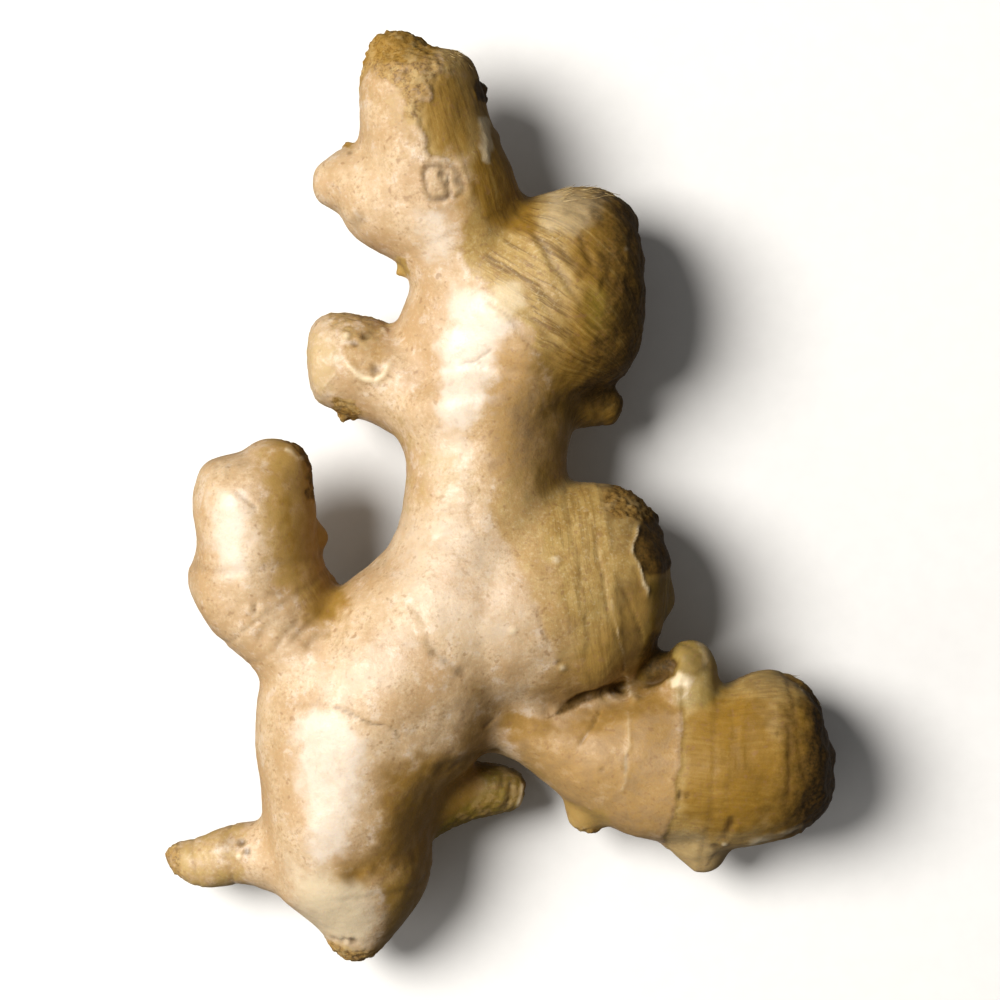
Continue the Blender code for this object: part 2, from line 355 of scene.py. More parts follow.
# Cracks, creases and folds seen from above: (points, width, depth, how dark).
CREASES = (
    # the split across the trunk
    ([(-38.5, -34.6), (-33, -34.2), (-27.6, -34.6)], 0.3, 0.15, 0.12),
    ([(-28.6, -34.3), (-26.5, -34.9), (-24.1, -36), (-21.3, -37.5), (-18.1, -37.7)], 0.22, 0.4, 0.8),
    ([(-18.8, -37.6), (-17.2, -38.6), (-16.7, -40.2)], 0.25, 0.35, 0.6),
    ([(-0.6, -36.9), (-1.8, -37.9), (-3, -38.8)], 0.25, 0.3, 0.6),
    ([(-15.4, -17), (-13.1, -19.6), (-12, -21.4)], 0.5, 0.22, 0.2),
    # wrinkles across the neck
    ([(-17.4, -4.1), (-12.4, -2.6), (-7.1, -1.2), (-3.3, -1.5)], 0.8, 0.22, 0.12),
    ([(-13.4, -7.4), (-8.4, -5.5), (-3.3, -2.9)], 0.8, 0.2, 0.08),
    # the crack above the neck
    ([(-7.1, 22.5), (-5.9, 23.2), (-4.6, 23.2), (-3.4, 24.1), (-1.1, 25.5)], 0.18, 0.25, 0.6),
    ([(-3.9, 23.4), (-2.8, 22.1)], 0.18, 0.2, 0.4),
    ([(-3.3, 33.9), (-0.4, 32.2), (3.4, 29.2)], 0.22, 0.2, 0.35),
    ([(0, 20.4), (4, 20), (7.6, 20.1)], 0.25, 0.15, 0.15),
    # the fold where the right finger comes out from under the east lobe, darkened as painted shade in the
    # fold
    ([(5.5, -38), (9.5, -36.1), (14.2, -34.2), (18.6, -32.7), (24.4, -31.6), (29.2, -29.4)],
     2.6, 0.7, 0.3),
    ([(9.5, -35.9), (14.2, -33.9), (18.6, -32.4), (21.8, -31.9)], 0.75, 1.2, 1),
    ([(23.4, -31.8), (26.8, -30.7), (29.2, -29.2), (29.8, -26.3)], 0.8, 1.2, 1),
    # the left finger
    ([(-45, 1.8), (-42.4, 0), (-40.4, -1.9)], 0.35, 0.3, 0.4),
    ([(-41.3, -17.4), (-41.1, -19.4)], 0.35, 0.35, 0.6),
    ([(-40.8, -24.8), (-39.4, -21.4), (-36.6, -18.8)], 0.8, 0.28, 0.12),
    ([(-37.8, -25.4), (-36.4, -22.6), (-33.4, -19.8)], 0.6, 0.34, 0.35),
    ([(-35.4, -24.2), (-33.2, -21.6), (-30.4, -20.2)], 0.7, 0.3, 0.3),
    ([(-33.4, -25.4), (-30.6, -22.8), (-28, -21.8)], 0.6, 0.24, 0.3),
    ([(-47.6, 6.4), (-48.2, 3.6)], 0.5, 0.25, 0.1),
    ([(-45.6, 6.6), (-46, 4)], 0.5, 0.22, 0.1),
    # the right finger
    ([(17.6, -35), (15.6, -38.2), (13.1, -42.2)], 0.3, 0.5, 0.6),
    ([(21.2, -43), (21.1, -46.6)], 0.25, 0.4, 0.6),
    ([(30.4, -49), (30.3, -51)], 0.35, 0.3, 0.9),
    ([(31.6, -49.3), (31.6, -50.8)], 0.3, 0.25, 0.8),
    ([(48.4, -36.5), (48.8, -40.6), (49, -46), (48.8, -51.4)], 0.4, 0.3, 0.9),
    ([(47.5, -28.6), (50.8, -31), (54.2, -34.6)], 0.5, 0.5, 0.7),
    ([(39.6, -53.2), (39, -55.4), (38.4, -58.2)], 0.55, 0.4, 1),
    # the east lobe
    ([(16, -3), (16.4, -9.8), (17.5, -13.8), (18.1, -18.6), (20.4, -24.9), (21.5, -31.1)],
     0.28, 0.22, 0.35),
    ([(20.3, -14), (22.6, -19), (24.4, -24)], 0.3, 0.25, 0.4),
    ([(5.9, -17.8), (7, -21.5), (8.6, -24.8)], 0.3, 0.2, 0.3),
    ([(-13, -22.6), (-11, -24.8), (-8, -27.8), (-5.5, -29.4)], 0.5, 0.2, 0.3),
    # dark lines along the upper lobe's fibres
    ([(5.6, 45.2), (8.4, 40.4), (12.4, 35.4)], 0.6, 0.35, 0.6),
    ([(7.4, 41), (10.8, 36.2), (14.5, 31.4)], 0.45, 0.3, 0.6),
    ([(13.4, 45), (14.4, 41.6), (16, 38.4)], 0.6, 0.4, 0.6),
    ([(9.6, 43), (12, 39.6), (14.6, 36.4)], 0.5, 0.2, 0.4),
    ([(3.6, 32.2), (7, 28.4), (11, 24.4)], 0.5, 0.2, 0.4),
    ([(6.4, 33.4), (9.6, 29.8), (13.4, 26)], 0.5, 0.2, 0.4),
    ([(1, 31), (4.4, 26.6), (8, 23)], 0.4, 0.15, 0.3),
    ([(5.4, 37.4), (8.6, 33.4), (12.2, 29.4)], 0.35, 0.2, 0.35),
    # the groove between the upper lobe's two end bulges, darkened as painted shade
    ([(16.3, 36.2), (19.6, 35.6), (23.3, 36.6)], 1.3, 0.9, 0.4),
    # the bay between the foot and the stub below it
    ([(-12, -46), (-8.6, -45.2), (-4, -43.8), (1, -42.8)], 1, 0.5, 0.5),
    # the under stub
    ([(0.5, -47.3), (0.2, -50)], 0.3, 0.35, 0.8),
    ([(1.8, -48.4), (1.6, -51), (0.8, -54)], 0.3, 0.4, 0.8),
    # the foot
    ([(-12.5, -59.5), (-17, -61.6), (-22, -63), (-27, -64.5)], 2.6, 0.55, 0.1),
    ([(-29.5, -75.5), (-27.6, -76.4), (-26, -75.2)], 0.5, 0.4, 0.3),
)
CREASE_WAVER = 0.22
CREASE_UNEVENNESS = 0.4
LINE_END_FADE = 0.16


def line_strength(skin, line, width, waver, unevenness):
    """About 1 along a line on the upper side, down to 0 at its ends and past its width."""
    gap, along = near_line(skin.wobbly_xy(waver), line)
    ends = smoothstep(0.0, LINE_END_FADE, along) * smoothstep(1.0, 1.0 - LINE_END_FADE, along)
    return bell(gap, width) * ends * skin.top * (0.8 + unevenness * skin.uneven)


def cut_creases(skin):
    for line, width, depth, dark in CREASES:
        groove = line_strength(skin, line, width, CREASE_WAVER, CREASE_UNEVENNESS)
        skin.push(-depth * groove)
        skin.mask("crease", dark * groove)


# Raised edges of torn or overlapping skin, and two pale lines that are painted highlights: (points, width,
# height, how pale).
RIDGES = (
    ([(21.6, -34.4), (21.9, -39.8), (21.2, -43.2), (21.4, -45.9), (20.9, -48.7), (19.5, -50.7)],
     0.4, 0.22, 0.45),
    ([(23.6, -3.1), (22.2, -8.7), (23.6, -12.2), (24.8, -15.4), (25.1, -17.4)], 0.3, 0.5, 0.9),
    ([(-26.4, 24.2), (-25.6, 22.6), (-24.4, 21.3), (-21.2, 20.1), (-19.4, 22), (-18.9, 24.5)],
     0.55, 0.6, 0.9),
    # painted highlight: a pale band along the right finger's lower edge
    ([(41.4, -59), (48.2, -57), (55, -54.6)], 0.7, 0.3, 0.8),
    ([(-3, 64), (-2.6, 60.5), (-2.1, 56.8)], 0.7, 0.35, 0.8),
    ([(22, -28.6), (22.5, -31.6), (23, -35)], 1, 0.9, 0.35),
    ([(21.5, -29.4), (21.9, -31.8), (22.1, -34)], 0.3, 0.25, 0.8),
    ([(-36.6, 9), (-35.2, 8), (-34.1, 6.6)], 0.4, 0.2, 0.7),
    ([(4, -48.7), (3.6, -51), (2.6, -53.8)], 0.45, 0.4, 0.9),
    ([(-30.3, 18.9), (-28, 21.7)], 0.3, 0.3, 0.7),
    # painted highlight: a pale line on the upper lobe's lit slope
    ([(-3.8, 30.4), (-1.8, 32), (0.4, 31.2)], 0.8, 0.12, 0.3),
    ([(18.1, -15), (19.6, -21), (21, -27), (21.8, -30)], 0.3, 0.12, 0.4),
    ([(51.2, -32.4), (53.2, -34)], 0.3, 0.3, 1),
)


RIDGE_WAVER = 0.4
RIDGE_UNEVENNESS = 0.5


def raise_ridges(skin):
    for line, width, height, pale in RIDGES:
        ridge = line_strength(skin, line, width, RIDGE_WAVER, RIDGE_UNEVENNESS)
        skin.push(height * ridge)
        skin.mask("pale", pale * ridge)


# Small pits (height below 0) and warts (above 0): (x, y, radius, height, how dark, how pale).
SPOTS = (
    (-8.9, 53.7, 0.7, 0.3, 0, 1),
    (-9.8, 54.6, 0.7, -0.25, 0.8, 0),
    (-7.1, 53.3, 0.9, -0.15, 0.6, 0),
    (-44.5, -59, 1, -0.5, 0.9, 0),
    (-43.6, -60.5, 0.9, -0.4, 0.9, 0),
    (-44.9, -61.3, 0.9, 0.3, 0, 1),
    (-47, -59.4, 2.6, 0.1, 0.4, 0),
    (-42.4, -18.4, 1.3, 0.25, 0, 0.3),
    (-40, -18.2, 1.3, 0.25, 0, 0.3),
    (37, -59.3, 0.9, -0.25, 0.7, 0),
    (38.5, -58.7, 0.9, 0.35, 0, 0.9),
    (17.2, -45.6, 0.7, -0.2, 0.5, 0),
    (9.3, -10.1, 1.2, 0.2, 0, 0.6),
    (2.2, -21.9, 1.2, 0.2, 0, 0.6),
    (10.5, -28.4, 1.1, 0.3, 0, 0.6),
    (10.1, -27.4, 0.9, -0.25, 0.5, 0),
    (-11.1, -25.2, 1.2, -0.2, 0.5, 0),
    (-6.7, -28.7, 1.2, -0.2, 0.5, 0),
    (-9, -26.8, 0.9, -0.15, 0.4, 0),
    (-21.5, 22.1, 1.3, -0.4, 0.8, 0),
    (-26, 28, 1.2, 0.4, 0, 0.8),
    (-20, 28.8, 1.1, 0.4, 0, 0.6),
    (-22.8, 28.2, 1.1, -0.6, 0.8, 0),
    (-24.5, 26.6, 0.9, -0.5, 0.7, 0),
    (-15.7, 71.6, 0.8, -0.5, 0.5, 0),
    (-23.9, 47.6, 1.8, -0.05, 0.4, 0),
    (-25.6, 59, 0.6, -0.1, 0.7, 0),
    (21.4, 42.2, 0.9, 0.1, 0, 0.5),
    (-33.6, 7.2, 0.8, 0.2, 0, 0.8),
    (-25.2, -75.8, 1.1, -0.6, 0.8, 0),
)


def make_spots(skin):
    for x, y, radius, height, dark, pale in SPOTS:
        patch = skin.disc((x, y), radius)
        skin.push(height * patch)
        skin.mask("crease", dark * np.sqrt(patch))
        skin.mask("pale", pale * patch)


# Bumps (height above 0) and hollows (below 0) in the sides of the root: (x, y, z, radius, height).
NUBS = (
    (-16.4, 39.6, 19, 1.3, 1.6),
    (-31.4, -5.4, 18.5, 2.1, 1.5),
    (-31.2, -7.2, 18, 2, 1.3),
    (-29.6, -14.2, 17.5, 1.6, 0.8),
    (-51, 5.4, 19, 2.6, 0.7),
    (-52.6, -14, 18, 4, 0.8),
    (-26.2, 61.2, 19, 1, 1),
    (-3.3, 70.2, 21, 1.2, 1.2),
    (-3.4, 68.4, 21, 0.9, 0.9),
    (0, 62.8, 20, 1.6, 0.7),
    (-26.8, 15.2, 14, 1.2, 1.7),
    (-25.2, 14.8, 13.5, 0.9, 1.1),
    (26.4, -3.6, 15.5, 1.6, 0.8),
    (27.4, -9.8, 15.5, 1.5, 1),
    (27.8, -8, 15.5, 4, -2.2),
    (28.6, -17.6, 15.5, 3.6, 1.5),
    (25.8, 36.6, 15.5, 3.4, -1),
    (56.5, -34.6, 15, 2.2, 0.8),
    (58, -44, 14.5, 2.6, 0.6),
    (-24.8, -80, 10, 2, 1),
    (-14, -62.5, 13, 3, 0.5),
    (-57.3, -61.9, 10, 1.4, 0.6),
    (23.4, 48.6, 16, 2.4, 0.7),
    (-9, 23, 29.3, 4, 0.7),
    (-3, 23.2, 30.2, 4, 1),
    (3, 23.2, 31, 4, 0.9),
)


def shape_sides(skin):
    for x, y, z, radius, height in NUBS:
        gap = np.linalg.norm(skin.co - np.array([x, y, z]), axis=1)
        skin.push(height * smoothstep(radius * 1.6, 0.0, gap))


# The old skin has torn away from the crown's right side, along this jagged edge.
PEELED = [
    (-9.1, 71.9), (-12.6, 71), (-11.4, 68.1), (-11.4, 66.7), (-13.9, 66.9), (-14.3, 65.3), (-13.4, 63.8),
    (-13.5, 62.4), (-12.2, 59.9), (-12.4, 58.7), (-11.4, 57.3), (-9.3, 57.3), (-5.5, 56.8), (-4.5, 52),
    (-2, 47), (8, 46), (6, 74), (-6, 73),
]
PEEL_DEPTH = 0.3


def peel_crown(skin):
    depth = inside_outline(skin.wobbly_xy(0.35), PEELED)
    torn = smoothstep(-8.0, -10.0, skin.xy[:, 0])
    lowered = torn * smoothstep(-0.15, 0.3, depth) + (1.0 - torn) * smoothstep(-3.0, 3.0, depth)
    skin.push(-PEEL_DEPTH * lowered * skin.top)
    edge = bell(depth - 0.15, 0.3) * skin.top
    lifted = bell(depth + 0.5, 0.4) * skin.top
    skin.push(0.06 * lifted * torn)
    skin.mask("crease", 0.3 * edge * torn)
    skin.mask("pale", 0.25 * lifted * torn)
    skin.mask("olive", 0.9 * lowered * skin.top)


# Squarish rings left by broken-off buds: (x, y, half width, half height, turn in degrees, depth, darkness).
BUD_SCARS = (
    (-10.6, 53.2, 1.9, 2.9, 8, 0.4, 1),
    (-7.9, 53.4, 1.5, 2.4, 20, 0.2, 0.5),
)
SQUARENESS = 3.2


def press_bud_scars(skin):
    for x, y, half_width, half_height, turn, depth, dark in BUD_SCARS:
        angle = math.radians(turn)
        away = skin.wobbly_xy(0.25) - np.array([x, y])
        across = away[:, 0] * math.cos(angle) + away[:, 1] * math.sin(angle)
        up = away[:, 1] * math.cos(angle) - away[:, 0] * math.sin(angle)
        square = np.abs(across / half_width) ** SQUARENESS + np.abs(up / half_height) ** SQUARENESS
        gap = (square ** (1 / SQUARENESS) - 1.0) * half_width
        strength = np.clip(0.8 + 0.5 * skin.uneven, 0.0, 1.0) * skin.top
        groove = strength * bell(gap, 0.3)
        rim = strength * bell(gap - 0.8, 0.45)
        skin.push(0.15 * rim - depth * groove)
        skin.mask("crease", dark * groove)
        skin.mask("pale", 0.25 * smoothstep(0.4, -0.4, gap) * skin.top)


# Patches of other skin, with painted shade and painted highlights among them: (outline, softness of its
# edge, raggedness of its edge, whether it reaches right round the root, {mask: amount}).
PATCHES = (
    # the crown: corky top, granular tan below it, dark right side
    ([(-27, 72.6), (-22, 73.8), (-18, 73.4), (-14, 74), (-10.8, 74.6), (-9.8, 77), (-9, 84), (-27, 84)],
     0.8, 0.9, True, {"cork": 1, "brown": 0.7}),
    ([(-27, 70.5), (-21, 70.6), (-17.6, 68.8), (-15.9, 66.4), (-14.6, 62.5), (-13, 62.5), (-12.2, 66),
      (-11.6, 69), (-10, 73), (-9.5, 78), (-27, 78)], 1.4, 1.4, True, {"cork": 0.75, "tan": 0.6}),
    ([(-26, 68), (-22, 66.5), (-18, 62), (-15.6, 57), (-13.4, 57), (-14, 63), (-17, 69), (-26, 70.5)],
     1.6, 1.4, True, {"cork": 0.4, "tan": 0.5}),
    ([(-9.8, 72), (-4, 72), (-2, 70), (4, 84), (-10.5, 84)], 0.8, 0.6, True, {"olive": 1, "fibre": 0.8}),
    ([(-6, 74.5), (-4.2, 71), (-4.6, 68), (-3, 64.5), (-4, 58), (-5, 53), (-3, 47), (6, 44), (6, 78)],
     1.2, 0.5, True, {"brown": 1, "fibre": 0.6}),
    ([(-10.5, 71.5), (-12.4, 66), (-12.6, 61.5), (-10.8, 58), (-5, 57.4), (-4.4, 66), (-6.5, 72)],
     1.4, 0.7, False, {"brown": 0.75, "fibre": 0.6}),
    ([(-5.4, 57.6), (-4.4, 52), (-4.8, 49.6), (-2, 48), (4, 47), (5, 58)], 1.6, 0.7, True, {"brown": 0.5}),
    ([(-3.5, 72), (-4.2, 70), (-3.6, 67.8), (0, 67), (2, 72)], 0.4, 0.4, True, {"dark": 1}),
    ([(-3.6, 64.5), (-3.2, 60), (-3, 56.6), (-1.4, 56.6), (-1, 60), (-1.6, 65)],
     0.6, 0.5, False, {"olive": 1, "pale": 0.6}),
    ([(-26.8, 63.2), (-24.9, 61.2), (-25.6, 59.8), (-28, 61)],
     0.4, 0.4, True, {"cork": 0.8, "brown": 0.8}),
    ([(-33, 57), (-31, 50), (-24, 45), (-19, 41), (-16, 38), (-40, 36), (-40, 58)],
     1.6, 0.8, True, {"tan": 0.25}),
    ([(-18, 41), (-15.9, 41), (-15.6, 38.4), (-18, 38)], 0.5, 0.4, True, {"olive": 1, "brown": 0.4}),
    ([(-8.6, 51.6), (-7.4, 47), (-6.4, 43.6), (-2, 43.6), (0, 52), (-5, 53)],
     1.8, 0.9, False, {"tan": 1, "olive": 0.45, "brown": 0.25}),
    # the west stub: flaky and pitted
    ([(-36, 32), (-29, 28.8), (-26.6, 24), (-28, 20), (-31, 15), (-38, 14), (-38, 32)],
     1.6, 1, True, {"cork": 0.3, "olive": 0.4, "pale": 0.3}),
    ([(-31, 34), (-28.5, 28.5), (-25, 26.6), (-19.6, 27), (-18, 29.4), (-18, 34)],
     1.6, 1.2, True, {"cork": 0.55, "olive": 0.5}),
    ([(-27, 26.6), (-20, 27.4), (-19, 25), (-21.4, 20.6), (-24.2, 21.8), (-26.6, 24)],
     0.7, 0.6, False, {"tan": 1, "cork": 0.35}),
    ([(-28.6, 17.5), (-24.4, 17), (-24, 12), (-29, 12)], 0.6, 0.6, True, {"cork": 0.9, "brown": 0.3}),
    # the upper lobe: olive and fibrous, dark at its broken end, and with painted shade over its right side
    ([(-4, 50), (-6, 46), (-7.4, 42), (-4.4, 37.6), (-1.4, 34.4), (3.5, 30), (5.6, 27), (8.3, 20.5),
      (10.8, 11.9), (12, 2), (34, 2), (34, 60), (5, 62)], 1.6, 0.9, True, {"olive": 1}),
    ([(-4, 41), (-1.5, 35.5), (3.6, 30.6), (9, 24), (12, 12), (34, 5), (34, 60), (4, 60), (0, 47)],
     2.2, 1, True, {"fibre": 1}),
    ([(-0.7, 29.5), (-1.5, 23.5), (-5.8, 12), (-5, 3), (14, 2), (12, 12), (8.3, 20.5), (4, 29.1)],
     2, 0.8, False, {"tan": 0.9}),
    ([(4, 26), (6, 14), (4, 4.5), (30, 2), (30, 22), (16, 26)],
     2.5, 1, True, {"olive": 0.5, "brown": 0.6}),
    # painted shade: brown, then dark, over the lobe's right side, which turns away from the light; the
    # broken end is also dark of itself
    ([(10, 54), (10.5, 46), (12, 40), (12.4, 33), (9, 24), (6, 14), (30, 8), (34, 60)],
     3, 1.2, True, {"brown": 0.85, "dark": 0.3}),
    ([(14.4, 54), (15.4, 46), (16.2, 40), (17, 33), (15.2, 25), (11, 17), (30, 12), (34, 60)],
     2.4, 1, True, {"brown": 1, "dark": 0.7}),
    ([(17.2, 56), (18.4, 51), (18.6, 46), (21.6, 42.4), (22, 38), (22.2, 33), (24, 26), (34, 24),
      (34, 58)], 1.8, 0.9, True, {"dark": 0.8}),
    ([(14.6, 35), (17.4, 34.6), (18.4, 32), (17.6, 29), (15.2, 29)], 2.6, 0.8, False, {"green": 0.55}),
    ([(-1.5, 35.5), (1.5, 37.5), (4.5, 35.5), (4.5, 32.5), (1.5, 29.5), (-1, 31)],
     1.4, 1, False, {"pale": 0.55}),
    ([(6.5, 46.5), (7, 54), (18.6, 54), (18.2, 50), (15.6, 45.6), (12, 43.6)],
     2.2, 1.2, False, {"pale": 0.42}),
    # tan and brown over the neck's right side, partly painted shade away from the light
    ([(0.5, 27), (-1, 20), (-2.5, 12), (-2, 2), (20, 2), (20, 12), (7, 17), (6, 27)],
     2.8, 1.2, False, {"tan": 1, "brown": 0.45}),
    ([(14, 19), (25, 19), (25, 10), (14, 10)], 1, 0.5, True, {"fibre": 1, "brown": 0.5, "cork": 0.3}),
    # the trunk and the east lobe
    ([(-1.5, 2), (-2.2, -2.8), (1, -7.6), (4.3, -13.5), (5.9, -17.8), (7, -21.5), (8.6, -24.8), (10, -30),
      (12, -35), (34, -28), (36, 8), (8, 8)], 1.3, 0.5, True, {"tan": 0.9, "olive": 0.5}),
    ([(5, 6), (8, -10), (12, -22), (14, -34), (34, -28), (36, 8)],
     3.5, 1.2, True, {"olive": 1, "fibre": 0.45}),
    ([(-20, 14), (-8, 10), (-1.5, 6), (-2.5, -0.6), (-9, -0.6), (-22, -5)], 2, 1, True, {"olive": 0.35}),
    ([(17.2, 1.6), (21, 3.6), (26, 2), (27, -3.4), (24.6, -3.6), (20.4, -3), (17.6, -2.2)],
     0.6, 0.7, True, {"cork": 1, "brown": 0.2, "dark": 0.3}),
    # the east lobe's broken end: a dark scar, darkened further as painted shade in its hollow
    ([(23.6, -3.4), (22.5, -7.6), (22.9, -10.4), (24.8, -13), (27.2, -12.6), (32, -10), (32, -2),
      (26, -2.4)], 0.5, 0.4, True, {"dark": 0.95, "brown": 0.8}),
    ([(24.6, -13.6), (25.4, -18), (24, -24), (23, -31), (34, -30), (34, -12)],
     1, 0.7, True, {"brown": 0.9, "green": 0.25, "fibre": 1}),
    ([(18, -20), (13, -25), (4, -32), (10, -36), (31, -30), (32, -4), (25, -4)],
     3.4, 1, True, {"tan": 0.9, "brown": 0.6}),
    # painted shade along the east lobe's lower edge, above the fold
    ([(10, -36.4), (20, -33), (29.6, -29.6), (29.8, -25.6), (28.2, -28.6), (21, -30.6), (12, -33.6)],
     0.9, 0.3, False, {"brown": 0.8}),
    # the deep fold under the east lobe, painted dark as shade in the fold
    ([(8, -37.1), (14, -35), (19, -33.2), (21.4, -32.6), (21.4, -31.4), (18.4, -31.7), (13.4, -33.4)],
     0.4, 0.15, False, {"dark": 1}),
    ([(24, -32), (26.8, -31.2), (29.2, -29.6), (29.8, -26.8), (28.2, -27), (27.2, -29.2), (24.6, -30.6)],
     0.4, 0.15, False, {"dark": 1}),
    # the elbow bud
    ([(29.8, -35), (29, -24), (40, -22), (40, -31), (35, -35)],
     0.8, 0.4, True, {"olive": 0.3, "green": 0.4, "pale": 0.2}),
    # painted shade: dark in the notch between the east lobe and the bud
    ([(26, -22), (30, -24), (29.6, -26.8), (29, -29.2), (27, -31), (24, -31.6), (24, -26)],
     0.8, 0.4, True, {"brown": 1, "dark": 0.85}),
    # painted highlight: a white patch at the bud's base
    ([(29, -30.2), (30.6, -29.4), (32.4, -30.4), (31.6, -31.8), (29.4, -31.8)],
     0.8, 0.5, False, {"pale": 0.9}),
    # the right finger
    ([(0, -36), (8, -37), (20, -34), (21.6, -40), (20.6, -50), (17, -60), (6, -50)],
     1.2, 0.7, True, {"tan": 0.9, "brown": 0.5}),
    ([(30.5, -34), (30.9, -38.5), (30.4, -42), (30.5, -44.7), (29.5, -47.3), (29.6, -53.5), (28, -58),
      (33, -72), (64, -66), (64, -24), (38, -24)],
     0.3, 0.3, True, {"olive": 0.95, "fibre": 0.3, "brown": 0.25}),
    # brown over the finger's outer half, partly painted shade where it turns away from the light
    ([(31, -36), (36, -33), (44, -36.5), (50, -41), (51, -47), (50, -56), (40, -56), (36, -58),
      (30.5, -54)], 2.4, 1.2, True, {"brown": 0.85}),
    ([(20, -33), (30, -33), (30.4, -55), (24, -60), (17, -56)], 1.5, 0.8, True, {"tan": 1, "brown": 0.45}),
    # painted shade along the finger's base, under the east lobe
    ([(-2, -34), (10, -38), (20, -34), (22, -31), (31, -30), (31, -36), (20, -38), (14, -41), (2, -42)],
     1.6, 1, True, {"brown": 0.75}),
    ([(16, -50), (30, -48), (31, -60), (20, -60)], 2, 1, True, {"brown": 0.4}),
    # painted shade: brown and some dark over the finger's outer part, which turns away from the light
    ([(46.4, -34), (50, -33), (56, -44), (50, -58), (46.4, -57), (47, -45)],
     3, 0.8, True, {"brown": 1, "dark": 0.6}),
    ([(34, -33), (46, -33), (48, -46), (45, -57), (36, -56), (37, -45)],
     3, 1.2, True, {"brown": 1, "dark": 0.17}),
    # painted shade in the fold at the elbow bud's base
    ([(22, -32), (29.4, -32), (29.8, -36), (22, -37)], 1.6, 0.8, False, {"brown": 0.8}),
    # fibre streaks, with a little pale that is a painted highlight
    ([(42.5, -29.5), (50, -29), (51.4, -35), (49, -41), (45.5, -40), (42.8, -35.4)],
     1.4, 0.9, False, {"fibre": 0.5, "pale": 0.15}),
    # dark at the finger's end: partly its own dark end, partly painted shade
    ([(50.2, -34.5), (48.6, -40), (48.8, -48), (47.6, -54), (44, -58), (56, -62), (66, -56), (66, -33),
      (56, -34)], 2.2, 0.8, True, {"brown": 1}),
    ([(51.8, -32), (50.6, -41), (50.8, -47), (49.6, -53), (51, -60), (66, -58), (66, -30)],
     3.2, 0.7, True, {"dark": 1}),
    ([(46.5, -26), (47.6, -28.6), (51, -31), (54.4, -34.8), (58, -34), (54, -26)],
     0.5, 0.5, True, {"brown": 0.8, "cork": 0.5}),
    ([(29, -56), (33, -56.6), (38, -60), (40.6, -61), (38, -68), (28, -64)],
     1, 0.6, True, {"olive": 0.5, "tan": 0.6, "pale": 0.3}),
    ([(11, -52), (18.6, -53.4), (19.4, -60), (11, -60)], 0.7, 0.5, True, {"olive": 0.9, "pale": 0.15}),
    ([(12.6, -56.6), (18, -56.6), (18, -60), (12.6, -60)], 0.5, 0.5, True, {"cork": 0.9}),
    # the left finger
    # painted shade: tan, olive and brown over the finger's right half, away from the light
    ([(-39.6, 14), (-40, 2), (-39.4, -6), (-38.6, -13), (-35, -16), (-31, -22), (-27, -20), (-24, 14)],
     3, 1, True, {"tan": 0.8, "olive": 0.75, "brown": 0.5}),
    # olive-brown strip where the finger turns from the light, partly painted shade
    ([(-38.8, 1), (-36.5, -1), (-36.8, -8), (-35, -13), (-32.6, -13.4), (-33.6, -6), (-35, 1)],
     2.2, 1.2, False, {"brown": 0.9}),
    ([(-42.5, 12), (-39.4, 5.4), (-33, 3.4), (-28, 4), (-30, 14)], 2.4, 1.2, True, {"olive": 0.5}),
    ([(-39.6, 13), (-38.8, 11.1), (-36.4, 10), (-34.2, 8.2), (-32.9, 5), (-32.4, 0), (-29, 0), (-31, 13)],
     0.4, 0.6, True, {"dark": 0.8, "cork": 0.6}),
    ([(-33.5, -3), (-30.8, -3), (-28, -3), (-28, -9.4), (-32.4, -9.4)],
     0.7, 0.4, True, {"olive": 0.9, "brown": 0.6}),
    ([(-33, -13), (-28, -12), (-25, -18), (-29.4, -22), (-33, -20)],
     2.4, 1.2, True, {"tan": 1, "brown": 0.8, "fibre": 0.6}),
    # the foot
    # painted shade: tan and brown down the foot's right side, away from the light
    ([(-20, -45), (-21, -58), (-27, -62), (-30, -65), (-24, -66.5), (-17, -64), (-5, -66), (-2, -44),
      (-10, -42)], 3.4, 0.8, True, {"tan": 1, "brown": 0.85}),
    # painted highlights: pale pink-white skin where the light catches the root
    ([(-14, 48), (-9.5, 49), (-8, 45), (-8.4, 40), (-13, 40)], 2.4, 1.2, False, {"painted_highlight": 0.6}),
    ([(-34, -36), (-26.5, -35.4), (-22.8, -40), (-23.6, -50), (-25.6, -60), (-31.5, -62), (-33, -52),
      (-34.5, -44)], 2.4, 1.2, False, {"painted_highlight": 0.8}),
    ([(-7.5, 34.5), (-2.5, 34), (2, 29), (-0.6, 26), (-1.6, 18), (-5, 12), (-10, 12), (-10, 22)],
     2.6, 1.2, False, {"painted_highlight": 0.9}),
    ([(-16, 0), (-4, -2.6), (2, -9), (5, -18), (2, -26), (-8, -24), (-20, -14)],
     3.6, 1.6, False, {"painted_highlight": 0.35}),
    ([(-48, 2), (-42.6, 1), (-41.8, -6), (-41.8, -12), (-46.4, -13.4), (-49, -8)],
     2.6, 1.2, False, {"painted_highlight": 0.75}),
    ([(-12, 12), (-5, 12), (-4, 6), (-5, -0.4), (-11, -1), (-14, 4)], 2.6, 1.4, False, {"painted_highlight": 0.4}),
    ([(-34, -30), (-22, -24), (-14, -20), (-16, -30), (-28, -35)], 3, 1.6, False, {"painted_highlight": 0.35}),
    # olive and brown right of the foot's tip, partly painted shade away from the light
    ([(-16, -50), (-13, -60), (-16, -72), (-20, -84), (0, -84), (0, -50)],
     1.8, 0.8, True, {"olive": 0.8, "brown": 0.6}),
    # painted highlight: pale skin on the foot's tip
    ([(-36, -62), (-29, -63), (-22.5, -66), (-21, -72), (-23, -76.6), (-34, -76)],
     3.6, 1.4, True, {"pale": 0.6, "painted_highlight": 0.5}),
    # the corky end of the foot's tip
